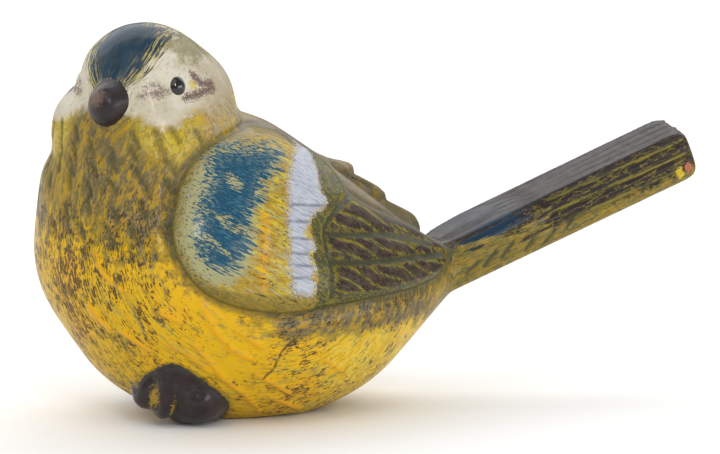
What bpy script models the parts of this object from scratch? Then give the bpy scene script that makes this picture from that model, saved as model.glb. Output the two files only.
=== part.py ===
"""A small glazed and painted ceramic bird, cast in one piece.

The bird sits on its own flattened belly with its beak towards -X, its tail
rising towards +X and its left wing towards -Y. Its head is turned to its left.
The origin is at the middle of the flat patch that it rests on. Pose, masses and
carving are shares of the bird's length, in units of SHARE.
"""
import math

import bmesh
import bpy
import numpy as np
from mathutils import Matrix, Vector
from mathutils.bvhtree import BVHTree

# Driving size
LENGTH = 0.148            # breast to tail tip, metres
SHARE = LENGTH / 148.0    # one unit of the proportions below

# How finely the casting is made
FORM_CELL = 0.9           # cell of the rough body form
SKIN_CELL = 0.55          # cell of the carved skin
FORM_SOFTENING = 36       # rounds of smoothing where the masses meet
SKIN_SOFTENING = 5        # rounds of smoothing where beak, tail and feet meet the body
CARVING_SOFTENING = 3     # rounds of smoothing after the carving
TRIANGLES = 9600          # in the finished solid
FLATTENING = 0.25         # points this close to the resting plane are laid on it

# Body masses: centre, radii
BREAST = ((-13.1, 0.5, 35.4), (31.4, 31.5, 27.7))
BELLY = ((0.4, 0.0, 24.8), (38.8, 31.0, 27.4))
THROAT = ((-17.0, 1.5, 50.0), (26.1, 24.0, 12.0))
SHOULDERS = ((-5.2, 0.0, 41.9), (22.2, 27.5, 22.0))
RUMP = ((27.8, 0.0, 27.7), (21.2, 16.5, 10.9))

# Head masses: centre, radii across the face, along it and up
FACING = 39.5             # degrees that the head is turned to the bird's left
CHEEKS = ((-22.2, -2.0, 60.2), (20.4, 18.2, 15.0))
CROWN = ((-22.6, -3.5, 67.4), (15.0, 15.0, 16.0))
BIB = ((-22.0, -3.5, 55.0), (20.0, 19.0, 12.0))
NAPE = ((-17.9, -2.0, 65.6), (15.1, 15.0, 14.0))

# Tail
TAIL_ROOT = (30.0, 0.0, 23.1)
TAIL_RISE = 21.4          # degrees
TAIL_REACH = 78.0         # from its buried root to its tip
TAIL_WIDTH = 19.6
TAIL_DEPTH = 10.4
TAIL_FLARE = 0.08         # how much deeper it is at its tip
TAIL_EDGE = 2.6           # rounding of its long edges
TAIL_SKEW = 0.18          # how much further its far side reaches
TAIL_CARVED_FROM = 30.0   # along the tail, where its feathers come out of the rump
TAIL_GROOVE = (1.6, 1.0)   # width and depth
TAIL_SIDE_GROOVES = ((4.6, 3.3), (1.9, 0.3), (-1.2, -2.6))  # height at the root and at the tip
TAIL_TOP_GROOVES = ((-4.6, -6.0), (-1.2, -2.0), (1.6, 2.2), (4.8, 6.2))  # across, likewise

# Beak: out from the crown's axis and height, radii across, along and up
BEAK_TURN = 2.0           # degrees that it sits off the middle of the face
BEAK_BASE = ((12.2, 67.8), (4.9, 4.0, 5.4))
BEAK_TIP = ((16.4, 67.3), (3.7, 3.3, 4.2))

# Eyes
EYE_TURNS = (60.5, -66.0)  # degrees round from the beak, left and right
EYE_HEIGHT = 70.5
EYE_RADII = (2.0, 1.8, 2.5)
EYE_PROUD = 0.9           # how far each bead stands out of its socket
EYE_SOCKET = (7.0, 1.1)   # radius and depth of the hollow around it

# Feet: the clenched lump and the toes that stand out of it, as centre, radii
LEFT_LUMP = (
    ((-24.6, -13.2, 7.8), (2.6, 3.2, 4.2)),
    ((-23.4, -16.4, 10.6), (2.8, 3.2, 3.2)),
    ((-18.8, -17.4, 9.2), (3.4, 3.4, 3.8)),
    ((-19.0, -14.6, 4.8), (3.2, 3.2, 4.8)),
    ((-12.4, -15.4, 4.2), (2.8, 3.2, 3.6)),
)
LEFT_TOES = (
    ((-26.3, -12.8, 7.8), (2.4, 3.2, 4.0)),
    ((-23.3, -15.4, 6.6), (2.8, 3.6, 4.8)),
    ((-16.4, -16.9, 5.6), (5.4, 4.6, 4.6)),
)
RIGHT_FOOT_SHIFT = 9.0    # the far foot sits this much further back

# Wings, as seen from the side: along the bird and up
WING_OUTLINE = (
    (-9.0, 59.6), (-16.0, 57.2), (-21.0, 52.2), (-24.2, 44.0), (-24.0, 38.0),
    (-19.8, 31.4), (-12.0, 27.2), (-2.0, 25.6), (8.0, 26.4), (20.0, 27.0),
    (32.0, 27.4), (39.5, 28.8), (42.6, 32.0), (39.8, 34.4), (33.8, 37.8),
    (24.0, 41.9), (17.2, 46.6), (15.2, 51.6), (9.0, 56.4), (-1.0, 60.2),
)
WING_PROUD = 1.5          # the wing stands this much above the body
WING_BEVEL = 2.2          # width of its sloping edge
WING_TRENCH = (1.8, 0.7)  # width and depth of the groove around it
FEATHER_GROOVE = (1.1, 0.75)
FEATHER_LINES = (
    ((16.6, 46.4), (11.6, 44.4), (8.2, 41.6), (7.7, 38.0), (8.5, 33.0), (8.0, 27.6)),
    ((8.0, 40.4), (15.6, 39.4), (25.6, 38.2), (37.4, 34.8)),
    ((8.4, 34.8), (17.2, 33.8), (30.0, 33.1), (41.4, 32.2)),
)

# Inner feathers of the right wing, lying over the back as seen from above:
# tip, length, width, height above the back
BACK_FEATHERS = (
    ((29.6, 2.0), 34.0, 17.0, 2.2),
    ((36.0, 2.0), 34.0, 15.0, 2.2),
    ((43.4, 2.5), 34.0, 13.0, 2.0),
)
BACK_FEATHER_TURN = 15.0  # degrees that they point inwards
BACK_FEATHER_BEVEL = 1.1
BACK_FEATHERS_FROM = (14.0, 27.0)  # along the bird, where they rise out of the shoulder


def scaled(values):
    """Proportions as metres."""
    return Vector(values) * SHARE


def add_ellipsoid(bm, centre, radii, turn=0.0, tilt=0.0, fineness=4):
    """One ellipsoid, tilted about its own X and then turned about Z."""
    turned = Matrix.Rotation(math.radians(turn), 4, "Z")
    tilted = Matrix.Rotation(math.radians(tilt), 4, "X")
    size = Matrix.Diagonal((*scaled(radii), 1.0))
    place = Matrix.Translation(scaled(centre)) @ turned @ tilted @ size
    bmesh.ops.create_icosphere(bm, subdivisions=fineness, radius=1.0, matrix=place)


def hull_of(masses, turn=0.0):
    """The tight skin around several ellipsoids."""
    bm = bmesh.new()
    for centre, radii in masses:
        add_ellipsoid(bm, centre, radii, turn)
    bmesh.ops.delete(bm, geom=bm.edges[:], context="EDGES_FACES")
    found = bmesh.ops.convex_hull(bm, input=bm.verts[:])
    inside = [item for item in found["geom_interior"] if isinstance(item, bmesh.types.BMVert)]
    bmesh.ops.delete(bm, geom=inside, context="VERTS")
    return bm


def tail_place():
    """Where the tail's root is and how it rises."""
    return Matrix.Translation(scaled(TAIL_ROOT)) @ Matrix.Rotation(-math.radians(TAIL_RISE), 4, "Y")


def tail_block():
    """The tail as one rounded bar, rising from inside the rump."""
    bm = bmesh.new()
    bmesh.ops.create_cube(bm, size=1.0)
    size = Matrix.Diagonal((*scaled((TAIL_REACH, TAIL_WIDTH, TAIL_DEPTH)), 1.0))
    bmesh.ops.transform(bm, matrix=size @ Matrix.Translation((0.5, 0.0, 0.0)), verts=bm.verts)
    for vert in bm.verts:
        if vert.co.x > 0.0:
            vert.co.x += TAIL_SKEW * vert.co.y
            vert.co.z *= 1.0 + TAIL_FLARE
    bmesh.ops.bevel(bm, geom=bm.edges[:], offset=TAIL_EDGE * SHARE, offset_type="OFFSET",
                    affect="EDGES", segments=4, profile=0.5, material=-1)
    bmesh.ops.transform(bm, matrix=tail_place(), verts=bm.verts)
    return bm


def out_from_crown(turn, out, height):
    """A point around the head, so many degrees round from the beak."""
    angle = math.radians(FACING + turn)
    x = CROWN[0][0] - math.cos(angle) * out
    y = CROWN[0][1] - math.sin(angle) * out
    return x, y, height


def beak_block():
    """The blunt beak, half sunk in the face."""
    masses = [(out_from_crown(BEAK_TURN, *at), radii) for at, radii in (BEAK_BASE, BEAK_TIP)]
    return hull_of(masses, FACING - 90.0)


def face_point(face, turn):
    """Where the face is at the height of the eyes, and its direction outwards."""
    inner = scaled(out_from_crown(turn, 0.0, EYE_HEIGHT))
    outer = scaled(out_from_crown(turn, 2.0 * CHEEKS[1][0], EYE_HEIGHT))
    surface, normal, _, _ = face.ray_cast(outer, inner - outer)
    return surface / SHARE, normal


def sink_sockets(form):
    """Press a shallow hollow into the face around each eye."""
    face = BVHTree.FromBMesh(form)
    radius, depth = EYE_SOCKET
    for middle, normal in [face_point(face, turn) for turn in EYE_TURNS]:
        for vert in form.verts:
            away = (vert.co / SHARE - middle).length
            if away < radius:
                vert.co -= normal * SHARE * depth * float(eased(away, radius, 0.0))
    form.normal_update()


def eye_centres(form):
    """Middle of each eye's bead, seated in the face, with its turn from the beak."""
    face = BVHTree.FromBMesh(form)
    centres = {}
    for turn in EYE_TURNS:
        surface, normal = face_point(face, turn)
        centres[turn] = surface - normal * (EYE_RADII[1] - EYE_PROUD)
    return centres


def eye_blocks(centres):
    """A bead for each eye."""
    bm = bmesh.new()
    for turn, centre in centres.items():
        add_ellipsoid(bm, centre, EYE_RADII, FACING + turn - 90.0, fineness=3)
    return bm


def far_side(masses):
    """The same masses for the right foot."""
    return [((x + RIGHT_FOOT_SHIFT, -y, z), radii) for (x, y, z), radii in masses]


def toe_blocks():
    """The toes of both feet."""
    bm = bmesh.new()
    for centre, radii in (*LEFT_TOES, *far_side(LEFT_TOES)):
        add_ellipsoid(bm, centre, radii)
    return bm


def joined(name, blocks):
    """One mesh that holds several closed, overlapping blocks."""
    bm = bmesh.new()
    for block in blocks:
        part = bpy.data.meshes.new("block")
        block.to_mesh(part)
        block.free()
        bm.from_mesh(part)
        bpy.data.meshes.remove(part)
    mesh = bpy.data.meshes.new(name)
    bm.to_mesh(mesh)
    bm.free()
    return mesh


def with_modifiers(mesh, settings, spared=()):
    """The mesh after a short stack of modifiers, each given as type and values.

    The points listed in spared are left out of its group "thinned".
    """
    worker = bpy.data.objects.new("worker", mesh)
    bpy.context.scene.collection.objects.link(worker)
    worker.vertex_groups.clear()
    others = np.setdiff1d(np.arange(len(mesh.vertices)), spared)
    worker.vertex_groups.new(name="thinned").add(others.tolist(), 1.0, "REPLACE")
    for kind, values in settings:
        modifier = worker.modifiers.new(kind.lower(), kind)
        for key, value in values.items():
            setattr(modifier, key, value)
    graph = bpy.context.evaluated_depsgraph_get()
    result = bpy.data.meshes.new_from_object(worker.evaluated_get(graph))
    bpy.data.objects.remove(worker)
    return result


def fused(name, blocks, cell, rounds):
    """Overlapping blocks melted into one skin and softened where they meet."""
    return with_modifiers(joined(name, blocks), (
        ("REMESH", {"mode": "VOXEL", "voxel_size": cell * SHARE}),
        ("SMOOTH", {"factor": 0.5, "iterations": round(rounds)}),
    ))


def body_form():
    """Body and head without anything small."""
    body = hull_of((BREAST, BELLY, THROAT, SHOULDERS, RUMP))
    head = hull_of((CROWN, NAPE), FACING - 90.0)
    cheeks = bmesh.new()
    for centre, radii in (CHEEKS, BIB):
        add_ellipsoid(cheeks, centre, radii, FACING - 90.0)
    return fused("form", (body, head, cheeks), FORM_CELL, FORM_SOFTENING)


def uncarved_skin():
    """Body, head, tail, beak, eyes and feet as one skin, and where its eyes are."""
    form = bmesh.new()
    form.from_mesh(body_form())
    sink_sockets(form)
    eyes = eye_centres(form)
    lumps = (hull_of(LEFT_LUMP), hull_of(far_side(LEFT_LUMP)))
    blocks = (form, tail_block(), beak_block(), eye_blocks(eyes), toe_blocks(), *lumps)
    return fused("skin", blocks, SKIN_CELL, SKIN_SOFTENING), eyes.values()


def eased(value, start, end):
    """0 before start, 1 after end and a smooth rise between."""
    share = np.clip((value - start) / (end - start), 0.0, 1.0)
    return share * share * (3.0 - 2.0 * share)


def smooth_path(knots, closed=False, steps=6):
    """A Catmull-Rom curve through the knots."""
    knots = np.array(knots)
    if closed:
        before, after = knots[-1:], knots[:2]
    else:
        before, after = 2.0 * knots[:1] - knots[1:2], 2.0 * knots[-1:] - knots[-2:-1]
    run = np.concatenate((before, knots, after))
    points = []
    for a, b, c, d in zip(run, run[1:], run[2:], run[3:]):
        for t in np.arange(steps) / steps:
            points.append(0.5 * (2.0 * b + (c - a) * t + (2.0 * a - 5.0 * b + 4.0 * c - d) * t ** 2
                                 + (3.0 * b - a - 3.0 * c + d) * t ** 3))
    points.append(points[0] if closed else knots[-1])
    return np.array(points)


def distance_to(points, path):
    """Distance of each point from a run of straight pieces."""
    nearest = np.full(len(points), np.inf)
    for start, end in zip(path, path[1:]):
        along = end - start
        share = np.clip((points - start) @ along / (along @ along), 0.0, 1.0)
        away = points - start - share[:, None] * along
        nearest = np.minimum(nearest, np.hypot(away[:, 0], away[:, 1]))
    return nearest


def depth_inside(points, outline):
    """Distance inside a closed outline, negative outside it."""
    within = np.zeros(len(points), dtype=bool)
    for (x1, z1), (x2, z2) in zip(outline, outline[1:]):
        spans = (z1 > points[:, 1]) != (z2 > points[:, 1])
        rise = np.where(spans, z2 - z1, 1.0)
        within ^= spans & (points[:, 0] < (x2 - x1) * (points[:, 1] - z1) / rise + x1)
    return np.where(within, 1.0, -1.0) * distance_to(points, outline)


def groove(distance, size):
    """Depth of a rounded groove at some distance from its middle."""
    width, depth = size
    return -depth * (1.0 - eased(distance, 0.0, width))


def wing_relief(points, normals):
    """Both wings, raised above the body, with a groove around them and feathers cut in."""
    side_view = points[:, (0, 2)]
    depth = depth_inside(side_view, smooth_path(WING_OUTLINE, closed=True))
    relief = WING_PROUD * eased(depth, -0.3 * WING_BEVEL, 0.7 * WING_BEVEL)
    relief += groove(np.abs(depth + WING_BEVEL), WING_TRENCH)
    for line in FEATHER_LINES:
        relief += groove(distance_to(side_view, smooth_path(line)), FEATHER_GROOVE)
    faces_sideways = eased(np.abs(normals[:, 1]), 0.1, 0.4)
    off_middle = eased(np.abs(points[:, 1]), 3.0, 7.0)
    return relief * faces_sideways * off_middle


def back_relief(points, normals):
    """The rounded feather tips that step down over the back."""
    turn = math.radians(BACK_FEATHER_TURN)
    relief = np.zeros(len(points))
    for tip, length, width, height in BACK_FEATHERS:
        x = points[:, 0] - tip[0]
        y = points[:, 1] - tip[1]
        along = (x * math.cos(turn) - y * math.sin(turn)) / (0.5 * length) + 1.0
        across = (x * math.sin(turn) + y * math.cos(turn)) / (0.5 * width)
        inside = (1.0 - np.hypot(along, across)) * 0.5 * width
        relief = np.maximum(relief, height * eased(inside, 0.0, BACK_FEATHER_BEVEL))
    faces_up = eased(normals[:, 2], 0.2, 0.6) * eased(points[:, 2], 30.0, 34.0)
    return relief * faces_up * eased(points[:, 0], *BACK_FEATHERS_FROM)


def tail_relief(points, normals):
    """Feather grooves along the tail's sides and top."""
    turned = np.array(tail_place().inverted().to_3x3())
    local = (points - np.array(TAIL_ROOT)) @ turned.T
    facing = normals @ turned.T
    share = (local[:, 0] - TAIL_CARVED_FROM) / (TAIL_REACH - TAIL_CARVED_FROM)
    on_tail = eased(share, 0.0, 0.25)
    relief = np.zeros(len(points))
    for at_root, at_tip in TAIL_SIDE_GROOVES:
        middle = at_root + (at_tip - at_root) * share
        away = np.abs(local[:, 2] - middle)
        relief += groove(away, TAIL_GROOVE) * eased(np.abs(facing[:, 1]), 0.5, 0.9)
    for at_root, at_tip in TAIL_TOP_GROOVES:
        middle = at_root + (at_tip - at_root) * share
        away = np.abs(local[:, 1] - middle)
        relief += groove(away, TAIL_GROOVE) * eased(facing[:, 2], 0.5, 0.9)
    return relief * on_tail


def carve(mesh):
    """Move the skin in and out along its own normals to cut the wings, back and tail."""
    points = np.empty(len(mesh.vertices) * 3)
    normals = np.empty(len(mesh.vertices) * 3)
    mesh.vertices.foreach_get("co", points)
    mesh.vertices.foreach_get("normal", normals)
    points = points.reshape(-1, 3) / SHARE
    normals = normals.reshape(-1, 3)
    wings = wing_relief(points, normals)
    back = back_relief(points, normals)
    relief = np.where(back > np.maximum(wings, 0.01), back, wings) + tail_relief(points, normals)
    points += normals * relief[:, None]
    mesh.vertices.foreach_set("co", (points * SHARE).ravel())
    mesh.update()


def thinned(mesh, eyes):
    """The carved skin with only as many triangles as the form needs, most of them kept at the eyes."""
    points = np.empty(len(mesh.vertices) * 3)
    mesh.vertices.foreach_get("co", points)
    points = points.reshape(-1, 3) / SHARE
    away = np.min([np.linalg.norm(points - np.array(eye), axis=1) for eye in eyes], axis=0)
    return with_modifiers(mesh, (
        ("SMOOTH", {"factor": 0.5, "iterations": round(CARVING_SOFTENING)}),
        ("TRIANGULATE", {}),
        ("DECIMATE", {"ratio": TRIANGLES / (2.0 * len(mesh.polygons)), "vertex_group": "thinned"}),
    ), np.flatnonzero(away < EYE_RADII[2]))


def seat_flat(mesh):
    """Cut the belly and toes off level at the resting plane and close the cut."""
    bm = bmesh.new()
    bm.from_mesh(mesh)
    for vert in bm.verts:
        if abs(vert.co.z) < FLATTENING * SHARE:
            vert.co.z = 0.0
    cut = bmesh.ops.bisect_plane(bm, geom=bm.verts[:] + bm.edges[:] + bm.faces[:], dist=1e-7,
                                 plane_co=(0.0, 0.0, 0.0), plane_no=(0.0, 0.0, 1.0), clear_inner=True)
    rim = [item for item in cut["geom_cut"] if isinstance(item, bmesh.types.BMEdge)]
    bmesh.ops.holes_fill(bm, edges=rim)
    bmesh.ops.triangulate(bm, faces=bm.faces[:])
    bm.to_mesh(mesh)
    bm.free()


def glaze():
    """Satin painted glaze in the bird's main yellow."""
    material = bpy.data.materials.new("painted_glaze")
    material.use_nodes = True
    shader = material.node_tree.nodes["Principled BSDF"]
    shader.inputs["Base Color"].default_value = (0.62, 0.40, 0.05, 1.0)
    shader.inputs["Roughness"].default_value = 0.35
    shader.inputs["Metallic"].default_value = 0.0
    return material


def main():
    """Build the bird in a collection of its own."""
    for thing in list(bpy.data.objects):
        bpy.data.objects.remove(thing)
    skin, eyes = uncarved_skin()
    carve(skin)
    solid = thinned(skin, eyes)
    seat_flat(solid)
    solid.materials.append(glaze())
    bird = bpy.data.objects.new("bird_figurine", solid)
    group = bpy.data.collections.new("ceramic_bird_figurine")
    bpy.context.scene.collection.children.link(group)
    group.objects.link(bird)


main()
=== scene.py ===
"""Looks of a small painted ceramic bird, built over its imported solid.

The casting is one fine skin over the solid, carved and painted by hand-like
strokes. Lengths inside the classes are millimetres in the part's own frame:
beak towards -X, tail towards +X, left wing towards -Y, resting plane at z = 0.
"""

import logging
import math
from dataclasses import dataclass
from enum import Enum
from typing import NamedTuple

import bmesh
import bpy
import numpy as np
from mathutils import Matrix, Vector
from mathutils.bvhtree import BVHTree


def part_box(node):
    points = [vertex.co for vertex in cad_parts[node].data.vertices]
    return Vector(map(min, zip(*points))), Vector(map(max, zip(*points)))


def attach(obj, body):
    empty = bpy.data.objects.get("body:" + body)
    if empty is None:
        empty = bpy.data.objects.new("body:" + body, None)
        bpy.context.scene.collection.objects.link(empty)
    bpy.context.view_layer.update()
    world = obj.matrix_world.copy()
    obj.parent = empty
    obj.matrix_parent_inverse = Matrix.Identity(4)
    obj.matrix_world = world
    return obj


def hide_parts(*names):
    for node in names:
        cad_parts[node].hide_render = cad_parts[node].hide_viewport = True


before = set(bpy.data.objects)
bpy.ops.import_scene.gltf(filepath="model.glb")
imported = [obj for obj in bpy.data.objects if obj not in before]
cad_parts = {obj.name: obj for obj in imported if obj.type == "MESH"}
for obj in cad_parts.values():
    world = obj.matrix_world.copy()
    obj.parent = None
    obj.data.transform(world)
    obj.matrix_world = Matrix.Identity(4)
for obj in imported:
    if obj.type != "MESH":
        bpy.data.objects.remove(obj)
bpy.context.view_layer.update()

LOG = logging.getLogger("ceramic_bird")
NODE = "bird_figurine"
MM = 0.001
FAR = 9.0

Knots = tuple[tuple[float, ...], ...]
Pair = tuple[float, float]
Point = tuple[float, float, float]
Fields = dict[str, np.ndarray]


class Side(Enum):
    """The bird's own left and right, by their place in a pair."""

    LEFT = 0
    RIGHT = 1


# Small tools for shapes

def eased(value: np.ndarray, start: float, end: float) -> np.ndarray:
    """Rise smoothly from 0 at start to 1 at end, or fall where end is the lesser."""
    share = np.clip((value - start) / (end - start), 0.0, 1.0)
    return share * share * (3.0 - 2.0 * share)


def turned(x: np.ndarray, y: np.ndarray, degrees: float) -> tuple[np.ndarray, np.ndarray]:
    """Return coordinates along and across a direction so many degrees round."""
    cosine, sine = math.cos(math.radians(degrees)), math.sin(math.radians(degrees))
    return x * cosine + y * sine, y * cosine - x * sine


def smooth_path(knots: Knots, closed: bool = False, steps: int = 6) -> np.ndarray:
    """Run a Catmull-Rom curve through some knots.

    Args:
        knots: Points of any dimension.
        closed: Whether the curve comes back to its first knot.
        steps: Points between two knots.

    Returns:
        The points of the curve.
    """
    run = np.array(knots, dtype=float)
    if closed:
        before, after = run[-1:], run[:2]
    else:
        before, after = 2.0 * run[:1] - run[1:2], 2.0 * run[-1:] - run[-2:-1]
    ends = np.concatenate((before, run, after))
    points = []
    for a, b, c, d in zip(ends, ends[1:], ends[2:], ends[3:]):
        for t in np.arange(steps) / steps:
            points.append(0.5 * (2.0 * b + (c - a) * t + (2.0 * a - 5.0 * b + 4.0 * c - d) * t ** 2
                                 + (3.0 * b - a - 3.0 * c + d) * t ** 3))
    points.append(points[0] if closed else run[-1])
    return np.array(points)


def distance_to(points: np.ndarray, path: np.ndarray) -> np.ndarray:
    """Measure how far points are from a run of straight pieces.

    Args:
        points: One row per point.
        path: The corners of the run, of the same dimension.

    Returns:
        The distance of each point.
    """
    nearest = np.full(len(points), np.inf)
    for start, end in zip(path, path[1:]):
        along = end - start
        share = np.clip((points - start) @ along / max(along @ along, 1e-9), 0.0, 1.0)
        away = np.linalg.norm(points - start - share[:, None] * along, axis=1)
        nearest = np.minimum(nearest, away)
    return nearest


def distance_to_any(points: np.ndarray, paths: tuple[Knots, ...],
                    smooth: bool = True) -> np.ndarray:
    """Measure how far points are from the nearest of several paths."""
    return np.min([distance_to(points, smooth_path(path) if smooth else np.array(path))
                   for path in paths], axis=0)


def depth_inside(points: np.ndarray, outline: np.ndarray) -> np.ndarray:
    """Measure how deep points lie inside a closed outline.

    Args:
        points: One row of two numbers per point.
        outline: The closed outline.

    Returns:
        The distance to the outline, negative outside it.
    """
    within = np.zeros(len(points), dtype=bool)
    for (x1, z1), (x2, z2) in zip(outline, outline[1:]):
        spans = (z1 > points[:, 1]) != (z2 > points[:, 1])
        rise = np.where(spans, z2 - z1, 1.0)
        within ^= spans & (points[:, 0] < (x2 - x1) * (points[:, 1] - z1) / rise + x1)
    return np.where(within, 1.0, -1.0) * distance_to(points, outline)


def inside_oval(points: np.ndarray, middle: tuple, size: tuple) -> np.ndarray:
    """Return 1 at the middle of an oval or ellipsoid, 0 at its edge, and less outside."""
    return 1.0 - np.linalg.norm((points - np.array(middle)) / np.array(size), axis=1)


def cut(distance: np.ndarray, width: float, depth: float) -> np.ndarray:
    """Return the height, below 0, of a rounded groove at some distance from its middle."""
    return -depth * (1.0 - eased(distance, 0.0, width))


def with_modifiers(mesh: bpy.types.Mesh, *settings: tuple[str, dict]) -> bpy.types.Mesh:
    """Apply a short stack of modifiers.

    Args:
        mesh: The mesh to start from.
        settings: Type and values of each modifier.

    Returns:
        A new mesh.
    """
    worker = bpy.data.objects.new("worker", mesh)
    bpy.context.scene.collection.objects.link(worker)
    for kind, values in settings:
        modifier = worker.modifiers.new(kind.lower(), kind)
        for key, value in values.items():
            setattr(modifier, key, value)
    evaluated = worker.evaluated_get(bpy.context.evaluated_depsgraph_get())
    result = bpy.data.meshes.new_from_object(evaluated)
    bpy.data.objects.remove(worker)
    return result


def mesh_from(name: str, bm: bmesh.types.BMesh) -> bpy.types.Mesh:
    """Turn a working mesh into one that an object can use."""
    mesh = bpy.data.meshes.new(name)
    bm.to_mesh(mesh)
    bm.free()
    return mesh


def add_ellipsoid(bm: bmesh.types.BMesh, centre: Point, radii: Point, turn: float) -> None:
    """Add one ellipsoid, turned about Z.

    Args:
        bm: The mesh that it is added to.
        centre: Its middle.
        radii: Its half sizes before it is turned.
        turn: Degrees.
    """
    turned_about_z = Matrix.Rotation(math.radians(turn), 4, "Z")
    sized = Matrix.Diagonal((*(Vector(radii) * MM), 1.0))
    place = Matrix.Translation(Vector(centre) * MM) @ turned_about_z @ sized
    bmesh.ops.create_icosphere(bm, subdivisions=4, radius=1.0, matrix=place)


def piece(name: str, mesh: bpy.types.Mesh, material: bpy.types.Material,
          smooth: bool = True) -> bpy.types.Object:
    """Put a finished mesh in the scene.

    Args:
        name: Name of the piece.
        mesh: Its mesh, already in place.
        material: Its finish.
        smooth: Whether its faces are shaded smooth.

    Returns:
        The new object.
    """
    mesh.name = name
    mesh.materials.clear()
    mesh.materials.append(material)
    mesh.polygons.foreach_set("use_smooth", [smooth] * len(mesh.polygons))
    made = bpy.data.objects.new(name, mesh)
    bpy.context.scene.collection.objects.link(made)
    LOG.info("%s: %d faces", name, len(mesh.polygons))
    return made


# Small tools for finishes

def tint(code: str) -> tuple[float, float, float, float]:
    """Turn a colour written as #rrggbb into the renderer's linear values."""
    shares = [int(code[i:i + 2], 16) / 255.0 for i in (1, 3, 5)]
    return (*(s / 12.92 if s <= 0.04045 else ((s + 0.055) / 1.055) ** 2.4 for s in shares), 1.0)


class Value:
    """A number laid in a node tree, reckoned with as any number is."""

    def __init__(self, wiring: "Wiring", socket: bpy.types.NodeSocket) -> None:
        """Keep the wiring and the output that carries the number."""
        self.wiring = wiring
        self.socket = socket

    def __add__(self, other: object) -> "Value":
        """Lay a sum."""
        return self.wiring.math("ADD", self, other)

    def __sub__(self, other: object) -> "Value":
        """Lay what is left after another number is taken off."""
        return self.wiring.math("SUBTRACT", self, other)

    def __rsub__(self, other: object) -> "Value":
        """Lay what is left of another number."""
        return self.wiring.math("SUBTRACT", other, self)

    def __mul__(self, other: object) -> "Value":
        """Lay a product."""
        return self.wiring.math("MULTIPLY", self, other)

    def __abs__(self) -> "Value":
        """Lay the number without its sign."""
        return self.wiring.math("ABSOLUTE", self)

    def or_more(self, other: object) -> "Value":
        """Lay the greater of two numbers."""
        return self.wiring.math("MAXIMUM", self, other)

    def rise(self, start: object, end: object) -> "Value":
        """Lay a smooth rise from 0 at start to 1 at end."""
        return self.wiring.node("MapRange", {"Value": self, "From Min": start, "From Max": end},
                                "Result", interpolation_type="SMOOTHSTEP")


class Wiring:
    """Short ways to lay nodes in a material or a group."""

    def __init__(self, tree: bpy.types.NodeTree) -> None:
        """Keep the tree that nodes are added to."""
        self.tree = tree

    def put(self, target: bpy.types.NodeSocket, value: object) -> None:
        """Link or set a socket.

        Args:
            target: The input socket.
            value: A laid value, a number, a vector or a colour code.
        """
        if isinstance(value, Value):
            self.tree.links.new(value.socket, target)
        else:
            target.default_value = tint(value) if isinstance(value, str) else value

    def fill(self, node: bpy.types.Node, values: dict) -> None:
        """Link or set several inputs of a node, by name or place."""
        for key, value in values.items():
            self.put(node.inputs[key], value)

    def node(self, kind: str, values: dict, output: int | str = 0, **settings: object) -> Value:
        """Lay one node.

        Args:
            kind: Its type, without the start that all share.
            values: What its inputs get, by name or place.
            output: Name or place of the output that is wanted.
            settings: Its other settings.

        Returns:
            That output.
        """
        node = self.tree.nodes.new(f"ShaderNode{kind}")
        for key, value in settings.items():
            setattr(node, key, value)
        self.fill(node, values)
        return Value(self, node.outputs[output])

    def math(self, operation: str, *values: object) -> Value:
        """Lay one Math node."""
        return self.node("Math", dict(enumerate(values)), operation=operation)

    def vector(self, operation: str, *values: object, output: int | str = 0) -> Value:
        """Lay one Vector Math node."""
        return self.node("VectorMath", dict(enumerate(values)), output, operation=operation)

    def mix(self, share: Value, below: object, above: object) -> Value:
        """Lay one colour over another by a share."""
        return self.node("Mix", {0: share, 6: below, 7: above}, 2, data_type="RGBA")

    def blend(self, share: Value, below: object, above: object) -> Value:
        """Lay one number over another by a share."""
        return self.node("Mix", {0: share, 2: below, 3: above}, 0, data_type="FLOAT")

    def attribute(self, name: str, output: str = "Fac") -> Value:
        """Read a number, or a vector, that the skin carries at each point."""
        return self.node("Attribute", {}, output, attribute_name=name)

    def place(self) -> Value:
        """Read the place on the object, in metres."""
        return self.node("TexCoord", {}, "Object")

    def noise(self, vector: Value, scale: float, detail: float = 3.0,
              roughness: float = 0.55) -> Value:
        """Lay a noise texture."""
        return self.node("TexNoise", {"Vector": vector, "Scale": scale, "Detail": detail,
                                      "Roughness": roughness}, "Fac")

    def group(self, tree: bpy.types.NodeTree, **values: object) -> Value:
        """Place a shared group with its own values."""
        return self.node("Group", values, node_tree=tree)

    def raised(self, height: Value, distance: float, strength: float) -> Value:
        """Lay a Bump node, whose height of one stands out by a distance in metres."""
        return self.node("Bump", {"Height": height, "Distance": distance, "Strength": strength},
                         "Normal")


class Layers:
    """Paint laid coat on coat."""

    def __init__(self, wiring: Wiring, under: object) -> None:
        """Start from an undercoat, a colour code or a laid colour."""
        self.wiring = wiring
        self.colour = under

    def lay(self, mask: Value, colour: object) -> "Layers":
        """Lay the next coat where a mask lets it through."""
        self.colour = self.wiring.mix(mask, self.colour, colour)
        return self


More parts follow.
